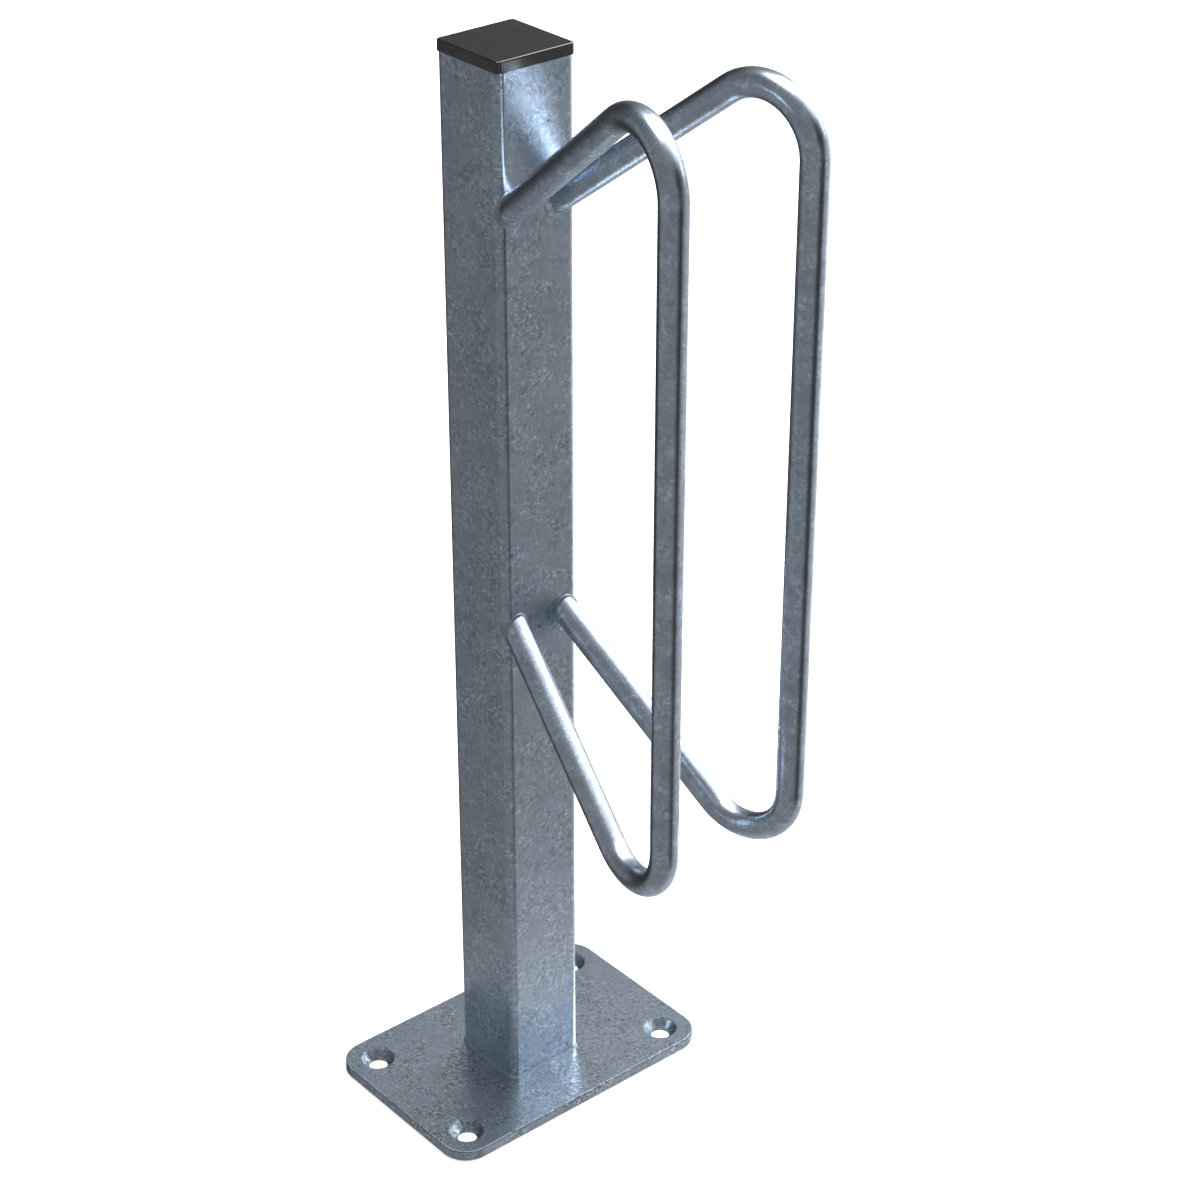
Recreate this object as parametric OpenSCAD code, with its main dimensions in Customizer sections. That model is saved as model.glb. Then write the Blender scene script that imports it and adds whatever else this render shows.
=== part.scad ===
// Floor-mounted bicycle parking stand: a square post on a base plate, with two splayed wheel hoops.
// Millimetres. +Z is up and the origin is the middle of the plate's underside, on the post's axis.
// The hoops reach towards -Y, where the wheel comes in, and stand left (-X) and right (+X) of it.

/* [Base plate] */
// Length of the plate, across the wheel
plate_l = 225; // [180:1:320]
// Width of the plate, in line with the wheel
plate_w = 150; // [130:1:240]
// Thickness of the plate
plate_t = 8; // [7:0.5:15]
// Radius of the plate's four corners, seen from above
plate_corner_r = 20; // [8:1:30]
// Rounding of the plate's top and bottom edges
plate_edge_r = 0.8; // [0.3:0.1:2]
// Distance from the plate's sides to the centre of each anchor hole
hole_inset = 22.5; // [20:0.5:30]
// Bore of the anchor holes
hole_d = 14; // [9:0.5:18]
// Width of the countersink at the plate's top
csk_d = 25; // [20:0.5:28]
// Drain hole in the plate, hidden under the post
drain_d = 30; // [10:1:45]

/* [Post] */
// Outer width of the square post
post_w = 60; // [55:1:80]
// Wall of the post
post_wall = 2.5; // [2:0.5:4]
// Outer radius of the post's long edges
post_corner_r = 5; // [4:0.5:8]
// Length of the post, from the plate to the end cap
post_l = 750; // [560:5:1000]

/* [End cap] */
// Height of the cap's head above the post
cap_h = 7.5; // [4:0.5:12]
// How far the head stands proud of the post's sides
cap_lip = 0.25; // [0:0.05:1]
// Radius of the head's four corners
cap_corner_r = 3; // [2:0.5:6]
// Rounding of the head's top edges
cap_edge_r = 1.2; // [0.4:0.1:1.8]
// Depth of the hollow plug inside the post
plug_depth = 26; // [15:1:40]
// Wall of the plug
plug_wall = 2; // [1.5:0.25:3]
// Height of each gripping fin from the plug's wall
fin_reach = 2.5; // [1.5:0.25:4]
// Thickness of a fin at its root
fin_t = 1.6; // [1:0.1:2.4]
// Number of fins round the plug
fin_count = 4; // [2:1:5]
// Clearance between the fins and the post's inner wall
fin_gap = 0.2; // [0.1:0.05:0.5]

/* [Wheel hoops] */
// Diameter of the hoop tube
tube_d = 18; // [14:0.5:22]
// Wall of the hoop tube
tube_wall = 2; // [1.5:0.25:3]
// From the post's top down to the centre of a hoop's upper end
hoop_drop = 87.5; // [60:0.5:120]
// Distance between the two ends of a hoop on the post
end_spacing = 294.5; // [240:0.5:330]
// Distance from the post's face out to the upright, along the hoop
hoop_reach = 187; // [150:1:220]
// Slope of the arms that run from the post to the upright
arm_slope = 37.5; // [30:0.5:42]
// Bending radius of the tube's centre line
bend_r = 38.5; // [35:0.5:48]
// Angle by which each hoop turns out from the wheel's plane
splay = 10; // [4:0.5:14]
// Post wall left round each galvanising vent, inside the tube's bore
vent_land = 2; // [1:0.25:3]

/* [Welds] */
// Leg of the fillet weld round the post's foot
foot_weld_leg = 1.5; // [1:0.5:5]
// Leg of the fillet welds round the hoop ends
hoop_weld_leg = 1; // [0.8:0.1:3]

/* [Hidden] */
$fn = 96;
// Sides of the shapes that a hull joins
hull_sides = 48;
// Overlap of a cutting tool past the face it cuts
cut = 1;
// Rim that a hoop's weld keeps where it runs out on the tube
weld_toe = 0.3;
// Share of a fin's root thickness that is left at its tip
fin_taper = 0.5;

post_top = plate_t + post_l;
post_bore_w = post_w - 2 * post_wall;
post_bore_r = post_corner_r - post_wall;

hole_x = plate_l / 2 - hole_inset;
hole_y = plate_w / 2 - hole_inset;
csk_depth = (csk_d - hole_d) / 2;

cap_w = post_w + 2 * cap_lip;
fin_w = post_bore_w - 2 * fin_gap;
fin_r = max(post_bore_r - fin_gap, 0.5);
plug_w = fin_w - 2 * fin_reach;
fin_pitch = plug_depth / (fin_count + 1);

tube_r = tube_d / 2;
bore_r = tube_r - tube_wall;
vent_d = 2 * (bore_r - vent_land);
// The tubes' outer sides are flush with the sides of the post
end_x = post_w / 2 - tube_r;
face_y = -post_w / 2;
upper_end_z = post_top - hoop_drop;
hoop_mid_z = upper_end_z - end_spacing / 2;

// A bend turns the tube from the upright into an arm
bend_angle = 90 + arm_slope;
bend_tangent = bend_r * tan(bend_angle / 2);
// Height from the hoop's middle to the corner where the arm's and the upright's centre lines would meet
corner_z = end_spacing / 2 + hoop_reach * tan(arm_slope);
bend_z = corner_z - bend_tangent;
arm_l = hoop_reach / cos(arm_slope) - bend_tangent;
// An arm runs on into the post, where the post's outline cuts it off
arm_overrun = post_w / 4;
// Half the width of the blocks that cut a bend out of a ring
bend_block = bend_r + tube_d;

// Rectangle with round corners
module outline(x_size, y_size, r) {
  square([x_size - 2 * r, y_size], center = true);
  square([x_size, y_size - 2 * r], center = true);
  for (sx = [-1, 1], sy = [-1, 1])
    translate([sx * (x_size / 2 - r), sy * (y_size / 2 - r)])
      circle(r);
}

// Sweeps a profile round a rectangle with round corners. The profile's X starts at the corners' centres.
module sweep_round(x_size, y_size, r) {
  for (turn = [0:3]) {
    size = turn % 2 == 0 ? [x_size, y_size] : [y_size, x_size];
    rotate([0, 0, 90 * turn])
      translate([size.x / 2 - r, size.y / 2 - r, 0]) {
        rotate_extrude(angle = 90)
          children();
        rotate([90, 0, 0])
          linear_extrude(size.y - 2 * r)
            children();
      }
  }
}

// Edge of a plate, with its top and bottom rounded off by their own radii
module edge_profile(r, h, top_r, bottom_r) {
  difference() {
    square([r, h]);
    translate([r - top_r, h - top_r])
      square(top_r + cut);
    translate([r - bottom_r, -cut])
      square([bottom_r + cut, bottom_r + cut]);
  }
  translate([r - top_r, h - top_r])
    circle(top_r);
  if (bottom_r > 0)
    translate([r - bottom_r, bottom_r])
      circle(bottom_r);
}

// Plate with round corners and rounded edges
module rounded_plate(x_size, y_size, h, r, top_r, bottom_r) {
  sweep_round(x_size, y_size, r)
    edge_profile(r, h, top_r, bottom_r);
  translate([r - x_size / 2, r - y_size / 2, 0])
    cube([x_size - 2 * r, y_size - 2 * r, h]);
}

// Hole with a 90 degree countersink from the plate's top
module anchor_hole() {
  translate([0, 0, -cut])
    cylinder(d = hole_d, h = plate_t + 2 * cut);
  translate([0, 0, plate_t - csk_depth])
    cylinder(d1 = hole_d, d2 = csk_d + 2 * cut, h = csk_depth + cut);
}

// Flat steel plate with four countersunk anchor holes and a drain under the post
module base_plate() {
  color("slategray")
    difference() {
      rounded_plate(plate_l, plate_w, plate_t, plate_corner_r, plate_edge_r, plate_edge_r);
      for (sx = [-1, 1], sy = [-1, 1])
        translate([sx * hole_x, sy * hole_y, 0])
          anchor_hole();
      translate([0, 0, -cut])
        cylinder(d = drain_d, h = plate_t + 2 * cut);
    }
}

// The post's outer form, also the tool that cuts the tube ends to fit it
module post_block() {
  translate([0, 0, plate_t])
    linear_extrude(post_l)
      outline(post_w, post_w, post_corner_r);
}

// Square tube. Vents behind the hoop ends let zinc run through in the galvanising bath.
module post() {
  color("lightslategray")
    difference() {
      post_block();
      translate([0, 0, plate_t - cut])
        linear_extrude(post_l + 2 * cut)
          outline(post_bore_w, post_bore_w, post_bore_r);
      for (sx = [-1, 1], end_z = [upper_end_z, upper_end_z - end_spacing])
        translate([sx * end_x, face_y - cut, end_z])
          rotate([-90, 0, 0])
            cylinder(d = vent_d, h = post_wall + 2 * cut);
    }
}

// Moulded cap: a head on the post's end and a hollow plug with fins that grip the bore
module end_cap() {
  color("dimgray") {
    translate([0, 0, post_top])
      rounded_plate(cap_w, cap_w, cap_h, cap_corner_r, cap_edge_r, 0);
    difference() {
      translate([0, 0, post_top - plug_depth])
        linear_extrude(plug_depth)
          outline(plug_w, plug_w, fin_r);
      translate([0, 0, post_top - plug_depth - cut])
        linear_extrude(plug_depth + cut)
          outline(plug_w - 2 * plug_wall, plug_w - 2 * plug_wall, fin_r);
    }
    for (fin = [1:fin_count])
      translate([0, 0, post_top - fin * fin_pitch])
        sweep_round(plug_w + 2 * fin_reach, plug_w + 2 * fin_reach, fin_r + fin_reach)
          fin_profile();
  }
}

// Section of one fin, thinner towards its tip
module fin_profile() {
  tip_t = fin_t * fin_taper;
  polygon([
    [fin_r, -fin_t / 2],
    [fin_r + fin_reach, -tip_t / 2],
    [fin_r + fin_reach, tip_t / 2],
    [fin_r, fin_t / 2]
  ]);
}

// Upper half of a hoop's centre line as a bar: half the upright, the bend and the arm.
// Here X runs out from the post along the hoop, and Z is height from the hoop's middle.
module half_hoop(r) {
  translate([hoop_reach - bend_r, 0, bend_z]) {
    translate([bend_r, 0, -bend_z])
      cylinder(r = r, h = bend_z);
    intersection() {
      rotate([90, 0, 0])
        rotate_extrude()
          translate([bend_r, 0])
            circle(r);
      translate([-bend_block, -bend_block, 0])
        cube([2 * bend_block, 2 * bend_block, bend_block]);
      rotate([0, -bend_angle, 0])
        translate([-bend_block, -bend_block, -bend_block])
          cube([2 * bend_block, 2 * bend_block, bend_block]);
    }
    rotate([0, -bend_angle, 0])
      translate([bend_r, 0, 0])
        cylinder(r = r, h = arm_l + arm_overrun);
  }
}

// Stands a hoop's own plane on the post's face, turned out to the right
module on_right_side() {
  translate([end_x, face_y, hoop_mid_z])
    rotate([0, 0, splay - 90])
      children();
}

// Both halves of a hoop as a bar of the given radius
module hoop_bar(r) {
  on_right_side()
    for (side = [0, 1])
      mirror([0, 0, side])
        half_hoop(r);
}

// One bent tube, its ends cut to the post's face and corner
module wheel_hoop() {
  difference() {
    hoop_bar(tube_r);
    hoop_bar(bore_r);
    post_block();
  }
}

module hoop_right() {
  color("silver")
    wheel_hoop();
}

module hoop_left() {
  color("silver")
    mirror([1, 0, 0])
      wheel_hoop();
}

// Fillet weld where the post stands on the plate
module foot_weld() {
  color("gray")
    translate([0, 0, plate_t])
      sweep_round(post_w, post_w, post_corner_r)
        polygon([
          [post_corner_r, 0],
          [post_corner_r + foot_weld_leg, 0],
          [post_corner_r, foot_weld_leg]
        ]);
}

// Slice of a bar along the upper arm, between two depths in front of the post's face
module arm_slice(r, near, far) {
  intersection() {
    on_right_side()
      translate([0, 0, end_spacing / 2])
        rotate([0, 90 - arm_slope, 0])
          translate([0, 0, -post_w / 2])
            cylinder(r = r, h = post_w, $fn = hull_sides);
    translate([-post_w, face_y - far, upper_end_z - post_w])
      cube([2 * post_w, far - near, 2 * post_w]);
  }
}

// Fillet weld round the upper end of the right hoop. It also fills in behind the tube at the post's corner.
module end_weld() {
  difference() {
    intersection() {
      hull() {
        arm_slice(tube_r + hoop_weld_leg, -post_corner_r, weld_toe);
        arm_slice(tube_r + weld_toe, hoop_weld_leg - weld_toe, hoop_weld_leg);
      }
      translate([-post_w / 2, -post_w, 0])
        cube([post_w, post_w, post_top]);
    }
    hoop_bar(tube_r);
    post_block();
  }
}

// The same weld at a hoop's lower end
module lower_end_weld() {
  translate([0, 0, hoop_mid_z])
    mirror([0, 0, 1])
      translate([0, 0, -hoop_mid_z])
        end_weld();
}

module weld_right_upper() {
  color("gray")
    end_weld();
}

module weld_right_lower() {
  color("gray")
    lower_end_weld();
}

module weld_left_upper() {
  color("gray")
    mirror([1, 0, 0])
      end_weld();
}

module weld_left_lower() {
  color("gray")
    mirror([1, 0, 0])
      lower_end_weld();
}

base_plate();
post();
end_cap();
hoop_left();
hoop_right();
foot_weld();
weld_left_upper();
weld_left_lower();
weld_right_upper();
weld_right_lower();
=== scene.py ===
import math

import bpy
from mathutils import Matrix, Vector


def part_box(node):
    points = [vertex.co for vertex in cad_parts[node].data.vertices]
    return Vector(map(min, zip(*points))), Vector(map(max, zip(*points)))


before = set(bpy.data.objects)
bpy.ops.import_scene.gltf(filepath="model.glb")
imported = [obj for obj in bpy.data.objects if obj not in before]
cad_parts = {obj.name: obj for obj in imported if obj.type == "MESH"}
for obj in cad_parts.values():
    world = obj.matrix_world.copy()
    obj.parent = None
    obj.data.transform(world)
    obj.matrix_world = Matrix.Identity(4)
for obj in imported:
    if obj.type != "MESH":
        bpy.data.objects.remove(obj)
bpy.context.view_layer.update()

bpy.ops.object.select_all(action="DESELECT")


# Base plate: 8 mm steel plate, laser cut, with four anchor holes countersunk from above.
# Like all the steel here it is hot-dip galvanised after welding. The zinc sets as small
# crystals of fine needles, in light and dark patches, with a few dark pinholes.
PLATE_ZINC = (0.47, 0.56, 0.66, 1)
PLATE_CRYSTAL = 0.007
PLATE_NEEDLE = 0.0017
PLATE_CLOUD = 0.03
PLATE_ROUGHNESS = 0.27


def math_node(tree, operation, a, b):
    """Combines two values, each a socket or a number."""
    node = tree.nodes.new("ShaderNodeMath")
    node.operation = operation
    for socket, value in zip(node.inputs, (a, b)):
        if isinstance(value, bpy.types.NodeSocket):
            tree.links.new(value, socket)
        else:
            socket.default_value = value
    return node.outputs["Value"]


def vector_node(tree, operation, a, b):
    """Combines two vectors, each a socket or three numbers."""
    node = tree.nodes.new("ShaderNodeVectorMath")
    node.operation = operation
    for socket, value in zip(node.inputs, (a, b)):
        if isinstance(value, bpy.types.NodeSocket):
            tree.links.new(value, socket)
        else:
            socket.default_value = value
    return node.outputs["Vector"]


def scaled(tree, colour, factor):
    """Makes a colour lighter or darker. Both are sockets."""
    node = tree.nodes.new("ShaderNodeVectorMath")
    node.operation = "SCALE"
    tree.links.new(colour, node.inputs[0])
    tree.links.new(factor, node.inputs["Scale"])
    return node.outputs["Vector"]


def spread(tree, source, low, high, to_low=0.0, to_high=1.0):
    """Maps a range of values onto another one, smoothly, and holds it at the ends."""
    node = tree.nodes.new("ShaderNodeMapRange")
    node.interpolation_type = "SMOOTHSTEP"
    for name, value in (("From Min", low), ("From Max", high), ("To Min", to_low), ("To Max", to_high)):
        node.inputs[name].default_value = value
    tree.links.new(source, node.inputs["Value"])
    return node.outputs["Result"]


def noise(tree, vector, scale, detail, roughness=0.55, distortion=0.0):
    """Soft noise. Its scale is a socket or a number."""
    node = tree.nodes.new("ShaderNodeTexNoise")
    node.inputs["Detail"].default_value = detail
    node.inputs["Roughness"].default_value = roughness
    node.inputs["Distortion"].default_value = distortion
    tree.links.new(vector, node.inputs["Vector"])
    if isinstance(scale, bpy.types.NodeSocket):
        tree.links.new(scale, node.inputs["Scale"])
    else:
        node.inputs["Scale"].default_value = scale
    return node


zinc_coat = bpy.data.node_groups.new("hot_dip_zinc", "ShaderNodeTree")
for name, kind in (
    ("Vector", "NodeSocketVector"),
    ("Zinc", "NodeSocketColor"),
    ("Crystal Scale", "NodeSocketFloat"),
    ("Needle Scale", "NodeSocketFloat"),
    ("Cloud Scale", "NodeSocketFloat"),
    ("Crystals", "NodeSocketFloat"),
    ("Needles", "NodeSocketFloat"),
    ("Clouds", "NodeSocketFloat"),
    ("Pinholes", "NodeSocketFloat"),
    ("Roughness", "NodeSocketFloat"),
):
    zinc_coat.interface.new_socket(name, in_out="INPUT", socket_type=kind)
for name, kind in (
    ("Colour", "NodeSocketColor"),
    ("Roughness", "NodeSocketFloat"),
    ("Height", "NodeSocketFloat"),
):
    zinc_coat.interface.new_socket(name, in_out="OUTPUT", socket_type=kind)
into = zinc_coat.nodes.new("NodeGroupInput").outputs
out = zinc_coat.nodes.new("NodeGroupOutput").inputs

# Each crystal is a cell with its own shade, and its needles lie their own way
waver = noise(zinc_coat, into["Vector"], into["Crystal Scale"], 2).outputs["Color"]
waver = vector_node(zinc_coat, "SUBTRACT", waver, (0.5, 0.5, 0.5))
waver = vector_node(zinc_coat, "DIVIDE", waver, into["Crystal Scale"])
cells = zinc_coat.nodes.new("ShaderNodeTexVoronoi")
zinc_coat.links.new(vector_node(zinc_coat, "ADD", into["Vector"], waver), cells.inputs["Vector"])
zinc_coat.links.new(into["Crystal Scale"], cells.inputs["Scale"])
lie = zinc_coat.nodes.new("ShaderNodeVectorRotate")
lie.rotation_type = "EULER_XYZ"
zinc_coat.links.new(into["Vector"], lie.inputs["Vector"])
turn = vector_node(zinc_coat, "MULTIPLY", cells.outputs["Color"], (6.283, 6.283, 6.283))
zinc_coat.links.new(turn, lie.inputs["Rotation"])
drawn = vector_node(zinc_coat, "MULTIPLY", lie.outputs["Vector"], (1.0, 0.42, 0.8))
needle = noise(zinc_coat, drawn, into["Needle Scale"], 3, 0.72).outputs["Fac"]
cell = zinc_coat.nodes.new("ShaderNodeSeparateColor")
zinc_coat.links.new(cells.outputs["Color"], cell.inputs["Color"])
shade = spread(zinc_coat, cell.outputs["Green"], 0.0, 1.0, -1.0, 1.0)

# The needles stand out in patches, and the whole coat is clouded
patch_scale = math_node(zinc_coat, "MULTIPLY", into["Crystal Scale"], 0.3)
patch = noise(zinc_coat, into["Vector"], patch_scale, 3, 0.6, 0.6)
patch = spread(zinc_coat, patch.outputs["Fac"], 0.36, 0.62, 0.3, 1.6)
cloud = noise(zinc_coat, into["Vector"], into["Cloud Scale"], 4, 0.6, 0.4).outputs["Fac"]
cloud = spread(zinc_coat, cloud, 0.32, 0.68, -1.0, 1.0)
fleck = math_node(zinc_coat, "MULTIPLY", spread(zinc_coat, needle, 0.54, 0.74, 0.0, 2.0), patch)
grain = math_node(zinc_coat, "MULTIPLY", spread(zinc_coat, needle, 0.28, 0.72, -1.2, 1.2), patch)

# Pinholes: small dark spots, in about a third of the cells of a wider grid
spots = zinc_coat.nodes.new("ShaderNodeTexVoronoi")
zinc_coat.links.new(into["Vector"], spots.inputs["Vector"])
zinc_coat.links.new(math_node(zinc_coat, "MULTIPLY", into["Needle Scale"], 0.21), spots.inputs["Scale"])
spot = zinc_coat.nodes.new("ShaderNodeSeparateColor")
zinc_coat.links.new(spots.outputs["Color"], spot.inputs["Color"])
pinhole = math_node(
    zinc_coat,
    "MULTIPLY",
    spread(zinc_coat, spots.outputs["Distance"], 0.05, 0.14, 1.0, 0.0),
    spread(zinc_coat, spot.outputs["Red"], 0.64, 0.72),
)
pinhole = math_node(zinc_coat, "MULTIPLY", pinhole, into["Pinholes"])

level = math_node(zinc_coat, "MULTIPLY", cloud, into["Clouds"])
level = math_node(zinc_coat, "ADD", level, math_node(zinc_coat, "MULTIPLY", shade, into["Crystals"]))
marks = math_node(zinc_coat, "MULTIPLY", math_node(zinc_coat, "ADD", grain, fleck), into["Needles"])
level = math_node(zinc_coat, "ADD", level, marks)
level = math_node(zinc_coat, "SUBTRACT", level, math_node(zinc_coat, "MULTIPLY", pinhole, 0.4))
zinc_coat.links.new(scaled(zinc_coat, into["Zinc"], math_node(zinc_coat, "ADD", level, 1.0)), out["Colour"])
dull = math_node(zinc_coat, "MULTIPLY", level, -0.06)
dull = math_node(zinc_coat, "ADD", dull, math_node(zinc_coat, "MULTIPLY", pinhole, 0.2))
zinc_coat.links.new(math_node(zinc_coat, "ADD", dull, into["Roughness"]), out["Roughness"])

# The skin itself ripples softly, without steps from crystal to crystal
ripple = noise(zinc_coat, into["Vector"], math_node(zinc_coat, "MULTIPLY", into["Needle Scale"], 0.6), 3)
relief = math_node(zinc_coat, "ADD", ripple.outputs["Fac"], math_node(zinc_coat, "MULTIPLY", cloud, 0.5))
zinc_coat.links.new(math_node(zinc_coat, "SUBTRACT", relief, pinhole), out["Height"])


def galvanised(name, zinc, crystal, needle, cloud, roughness, crystals, needles, clouds, pinholes, relief):
    """A galvanised finish. Sizes are in metres, and the strengths are shares of the zinc's brightness."""
    material = bpy.data.materials.new(name)
    material.use_nodes = True
    tree = material.node_tree
    shader = tree.nodes["Principled BSDF"]
    shader.inputs["Metallic"].default_value = 1.0
    coat = tree.nodes.new("ShaderNodeGroup")
    coat.node_tree = zinc_coat
    place = tree.nodes.new("ShaderNodeTexCoord")
    tree.links.new(place.outputs["Object"], coat.inputs["Vector"])
    for socket, value in (
        ("Zinc", zinc),
        ("Crystal Scale", 1 / crystal),
        ("Needle Scale", 1 / needle),
        ("Cloud Scale", 1 / cloud),
        ("Crystals", crystals),
        ("Needles", needles),
        ("Clouds", clouds),
        ("Pinholes", pinholes),
        ("Roughness", roughness),
    ):
        coat.inputs[socket].default_value = value
    tree.links.new(coat.outputs["Colour"], shader.inputs["Base Color"])
    tree.links.new(coat.outputs["Roughness"], shader.inputs["Roughness"])
    bump = tree.nodes.new("ShaderNodeBump")
    bump.inputs["Strength"].default_value = 1.0
    bump.inputs["Distance"].default_value = relief
    tree.links.new(coat.outputs["Height"], bump.inputs["Height"])
    tree.links.new(bump.outputs["Normal"], shader.inputs["Normal"])
    return material


def finish_node(node, material):
    """Puts a finish on every slot of a CAD node."""
    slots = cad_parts[node].data.materials
    if not slots:
        slots.append(material)
    for index in range(len(slots)):
        slots[index] = material


plate_finish = galvanised(
    "galvanised_plate", PLATE_ZINC, PLATE_CRYSTAL, PLATE_NEEDLE, PLATE_CLOUD, PLATE_ROUGHNESS,
    crystals=0.05, needles=0.36, clouds=0.08, pinholes=0.7, relief=0.00001,
)

# The cut sides and countersinks are painted darker than the top, and the rounded rim between
# them darker still: painted shade that dims the lamp's highlight along the rim. The rim is rough too
SIDE_PAINTED_SHADE = 0.74
RIM_PAINTED_SHADE = 0.5
RIM_ROUGHNESS = 0.45
RIM_HEIGHT = 0.001
plate_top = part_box("base_plate")[1].z
rim_foot = plate_top - RIM_HEIGHT
tree = plate_finish.node_tree
place = tree.nodes.new("ShaderNodeSeparateXYZ")
tree.links.new(tree.nodes["Texture Coordinate"].outputs["Object"], place.inputs["Vector"])
height = place.outputs["Z"]
coat = tree.nodes["Group"].outputs
sockets = tree.nodes["Principled BSDF"].inputs
# Painted shade: the sides below the rim and the rim itself are darkened, dimming the lamp's highlight on the
# rim
below = spread(tree, height, rim_foot, rim_foot + 0.0002, SIDE_PAINTED_SHADE, RIM_PAINTED_SHADE)
above = spread(tree, height, plate_top - 0.00005, plate_top, RIM_PAINTED_SHADE, 1.0)
tree.links.new(scaled(tree, coat["Colour"], math_node(tree, "MAXIMUM", below, above)), sockets["Base Color"])
below = spread(tree, height, rim_foot - 0.0001, rim_foot + 0.0001, 0.0, RIM_ROUGHNESS)
above = spread(tree, height, plate_top - 0.00004, plate_top, RIM_ROUGHNESS, 0.0)
rim = math_node(tree, "MINIMUM", below, above)
tree.links.new(math_node(tree, "ADD", coat["Roughness"], rim), sockets["Roughness"])
finish_node("base_plate", plate_finish)


# Post: cold formed square tube, 60 x 60 mm with a 2.5 mm wall, sawn square at both ends
# and welded upright on the plate. Its flat sides drain well, so its crystals grow larger
# and its zinc is quieter than the plate's.
POST_ZINC = (0.46, 0.535, 0.63, 1)
post_finish = galvanised(
    "galvanised_post", POST_ZINC, crystal=0.008, needle=0.0023, cloud=0.045, roughness=0.34,
    crystals=0.05, needles=0.18, clouds=0.05, pinholes=1.0, relief=0.000012,
)
finish_node("post", post_finish)


# Foot weld: a small fillet of weld steel, laid all round the post's foot to join it to the
# plate. The zinc smooths it over, and lies duller there than on the flat steel. Its colour is
# painted darker than the post's: painted shade in the crease at the foot, which keeps the highlight off it.
FOOT_WELD_ZINC_WITH_PAINTED_SHADE = (0.27, 0.33, 0.4, 1)
WELD_COAT = {
    "crystal": 0.004,
    "needle": 0.0024,
    "cloud": 0.012,
    "crystals": 0.04,
    "needles": 0.1,
    "clouds": 0.08,
    "pinholes": 0.6,
}
foot_finish = galvanised(
    "galvanised_foot_weld", FOOT_WELD_ZINC_WITH_PAINTED_SHADE, roughness=0.6, relief=0.00004, **WELD_COAT
)
finish_node("foot_weld", foot_finish)


# Wheel hoops: two lengths of 18 mm round tube with a 2 mm wall, each bent twice on a
# bending machine. Drawn tube is smooth, so its zinc is brighter and more even.
TUBE_ZINC = (0.505, 0.59, 0.69, 1)
tube_finish = galvanised(
    "galvanised_tube", TUBE_ZINC, crystal=0.006, needle=0.003, cloud=0.02, roughness=0.28,
    crystals=0.06, needles=0.12, clouds=0.12, pinholes=0.6, relief=0.000005,
)
for side in ("left", "right"):
    finish_node(f"hoop_{side}", tube_finish)


# Hoop welds: a thin bead of weld steel round each of the four tube ends, on the post's
# front face. The zinc follows its ripples, so the coat is more uneven here than elsewhere.
HOOP_WELD_ZINC = (0.37, 0.435, 0.51, 1)
weld_finish = galvanised("galvanised_weld", HOOP_WELD_ZINC, roughness=0.42, relief=0.00012, **WELD_COAT)
for side in ("left", "right"):
    for end in ("upper", "lower"):
        finish_node(f"weld_{side}_{end}", weld_finish)


# End cap: injection moulded in black polyethylene and knocked into the post's open top.
# The mould's fine grain leaves a satin skin, rubbed a little shinier in places.
CAP_BLACK = (0.007, 0.0065, 0.006, 1)
CAP_RUBBED = (0.013, 0.0125, 0.012, 1)
CAP_SATIN = 0.22
CAP_SHINE = 0.14
CAP_GRAIN = 0.00001
cap_finish = bpy.data.materials.new("cap_plastic")
cap_finish.use_nodes = True
tree = cap_finish.node_tree
shader = tree.nodes["Principled BSDF"]
place = tree.nodes.new("ShaderNodeTexCoord").outputs["Object"]
rubbed = noise(tree, place, 45.0, 4, 0.6, 0.5).outputs["Fac"]
black = tree.nodes.new("ShaderNodeMix")
black.data_type = "RGBA"
black.inputs["A"].default_value = CAP_BLACK
black.inputs["B"].default_value = CAP_RUBBED
tree.links.new(spread(tree, rubbed, 0.35, 0.7), black.inputs["Factor"])
tree.links.new(black.outputs["Result"], shader.inputs["Base Color"])
tree.links.new(spread(tree, rubbed, 0.3, 0.7, CAP_SATIN, CAP_SHINE), shader.inputs["Roughness"])
shader.inputs["Specular IOR Level"].default_value = 0.95
grain = noise(tree, place, 2600.0, 2).outputs["Fac"]
bump = tree.nodes.new("ShaderNodeBump")
bump.inputs["Distance"].default_value = CAP_GRAIN
tree.links.new(grain, bump.inputs["Height"])
tree.links.new(bump.outputs["Normal"], shader.inputs["Normal"])
finish_node("end_cap", cap_finish)


# Studio light: a dim grey surround, and a tall softbox on the right that leans over the
# stand, with its lamp in the middle. A second lamp hangs overhead. A low white card fills
# the right, and black flags in front and behind draw the dark streaks on the round tubes.
SURROUND = 0.275
SOFTBOX = 1.75
LAMP = 11.0
CARDS = (
    # name, bearing and height of its middle, half width, soft edge (degrees), level
    ("ground_left", -140, -32, 34, 14, 0.292),
    ("ground_right", 74, -38, 42, 18, 0.58),
    ("front_flag_low", 15, -24, 20, 10, 0.03),
    ("front_flag_high", 17, 18, 24, 12, 0.02),
    ("back_flag_low", 178, -22, 29, 12, 0.03),
    ("back_flag_high", 175, 14, 28, 14, 0.04),
    ("back_wall_left", -142, 34, 24, 12, 0.17),
    ("right_card_low", 106, -22, 20, 8, 1.25),
    ("side_lamp", 70, 17, 12, 6, 3.0),
    ("softbox_front", 46, 50, 17, 9, 1.0),
    ("softbox_low", 103, 7, 15, 7, SOFTBOX),
    ("softbox_middle", 88, 32, 25, 7, SOFTBOX),
    ("softbox_high", 80, 57, 28, 8, SOFTBOX),
    ("softbox_lamp", 92, 42, 15, 7, LAMP),
    ("overhead_lamp", 140, 83, 15, 9, 11.0),
)
BACKDROP = (112, -14, 14, 6)


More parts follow.
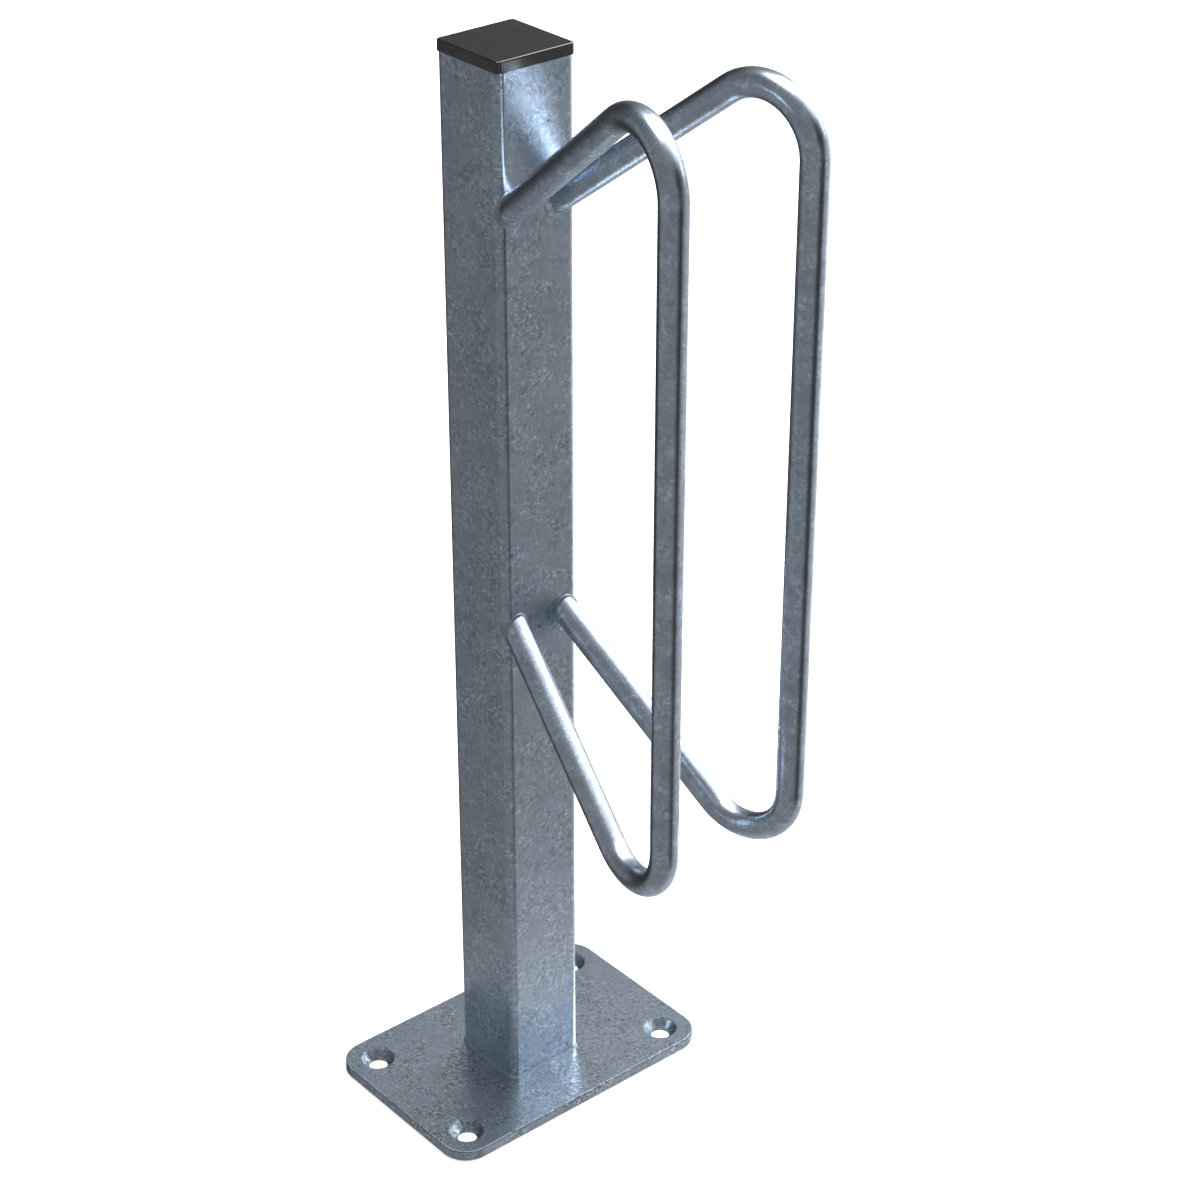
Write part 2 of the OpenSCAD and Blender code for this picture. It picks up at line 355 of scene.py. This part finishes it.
def card_mask(tree, direction, bearing, rise, half_width, edge):
    """One inside a round card, as seen from the stand, and zero outside."""
    a, e = math.radians(bearing), math.radians(rise)
    facing = tree.nodes.new("ShaderNodeVectorMath")
    facing.operation = "DOT_PRODUCT"
    facing.inputs[1].default_value = (math.sin(a) * math.cos(e), -math.cos(a) * math.cos(e), math.sin(e))
    tree.links.new(direction, facing.inputs[0])
    angle = math_node(tree, "ARCCOSINE", facing.outputs["Value"], 0.0)
    return spread(tree, angle, math.radians(half_width - edge), math.radians(half_width + edge), 1.0, 0.0)


def blend(tree, factor, a, b):
    """Goes from one value to another, each a socket or a number."""
    node = tree.nodes.new("ShaderNodeMix")
    node.data_type = "FLOAT"
    tree.links.new(factor, node.inputs["Factor"])
    for socket, value in ((node.inputs["A"], a), (node.inputs["B"], b)):
        if isinstance(value, bpy.types.NodeSocket):
            tree.links.new(value, socket)
        else:
            socket.default_value = value
    return node.outputs["Result"]


scene = bpy.context.scene
studio = bpy.data.worlds.new("studio")
scene.world = studio
studio.use_nodes = True
tree = studio.node_tree
direction = tree.nodes.new("ShaderNodeTexCoord").outputs["Generated"]
level = SURROUND
for name, bearing, rise, half_width, edge, brightness in CARDS:
    level = blend(tree, card_mask(tree, direction, bearing, rise, half_width, edge), level, brightness)

# The camera sees plain white all round. The steel sees the white backdrop where it hangs,
# behind the stand and to its right, and the studio's cards everywhere else.
ray = tree.nodes.new("ShaderNodeLightPath").outputs
mirrored = math_node(tree, "ADD", ray["Is Glossy Ray"], ray["Is Transmission Ray"])
mirrored = math_node(tree, "MULTIPLY", mirrored, card_mask(tree, direction, *BACKDROP))
mirrored = math_node(tree, "MULTIPLY", mirrored, math_node(tree, "LESS_THAN", level, 1.0))
white = math_node(tree, "ADD", ray["Is Camera Ray"], mirrored)
background = tree.nodes["Background"]
background.inputs["Color"].default_value = (1, 1, 1, 1)
tree.links.new(blend(tree, white, level, 1.0), background.inputs["Strength"])


# Floor: a plain pale sheet under the stand. It keeps the stand's soft shadow, and the steel
# mirrors it near the plate, from where it fades into the dim studio.
FLOOR_PALE = (0.8, 0.8, 0.8, 1)
FLOOR_GLOW = 0.45
MIRRORED_CENTRE = (0.04, -0.06, 0)
MIRRORED_NEAR = 0.08
MIRRORED_FAR = 0.3
MIRRORED_LOSS = 0.76
bpy.ops.mesh.primitive_plane_add(size=12)
floor = bpy.context.object
floor.name = "floor"
pale = bpy.data.materials.new("pale_floor")
pale.use_nodes = True
tree = pale.node_tree
shader = tree.nodes["Principled BSDF"]
shader.inputs["Base Color"].default_value = FLOOR_PALE
shader.inputs["Roughness"].default_value = 1.0
shader.inputs["Specular IOR Level"].default_value = 0.0
shader.inputs["Emission Color"].default_value = (1, 1, 1, 1)
ray = tree.nodes.new("ShaderNodeLightPath").outputs
glow = math_node(tree, "MULTIPLY", ray["Is Camera Ray"], FLOOR_GLOW)
tree.links.new(glow, shader.inputs["Emission Strength"])
place = tree.nodes.new("ShaderNodeTexCoord").outputs["Object"]
away = tree.nodes.new("ShaderNodeVectorMath")
away.operation = "DISTANCE"
away.inputs[1].default_value = MIRRORED_CENTRE
tree.links.new(place, away.inputs[0])
fade = spread(tree, away.outputs["Value"], MIRRORED_NEAR, MIRRORED_FAR, MIRRORED_LOSS, 1.0)
mirrored = math_node(tree, "ADD", ray["Is Glossy Ray"], ray["Is Transmission Ray"])
gone = tree.nodes.new("ShaderNodeBsdfTransparent")
sheet = tree.nodes.new("ShaderNodeMixShader")
tree.links.new(math_node(tree, "MULTIPLY", fade, mirrored), sheet.inputs["Fac"])
tree.links.new(shader.outputs["BSDF"], sheet.inputs[1])
tree.links.new(gone.outputs["BSDF"], sheet.inputs[2])
tree.links.new(sheet.outputs["Shader"], tree.nodes["Material Output"].inputs["Surface"])
floor.data.materials.append(pale)


# Camera: above and to the left of the stand's front, looking down at it through a long
# lens, so that upright edges lean in only a little.
CAMERA_PLACE = (-1.0242, -1.29854, 1.30992)
CAMERA_DROP = 29.2046
CAMERA_BEARING = -40.0543
LENS = 86.585
bpy.ops.object.camera_add(
    location=CAMERA_PLACE,
    rotation=(math.radians(90 - CAMERA_DROP), 0, math.radians(CAMERA_BEARING)),
)
camera = bpy.context.object
camera.data.sensor_width = 36
camera.data.lens = LENS
scene.camera = camera
scene.view_settings.view_transform = "Standard"
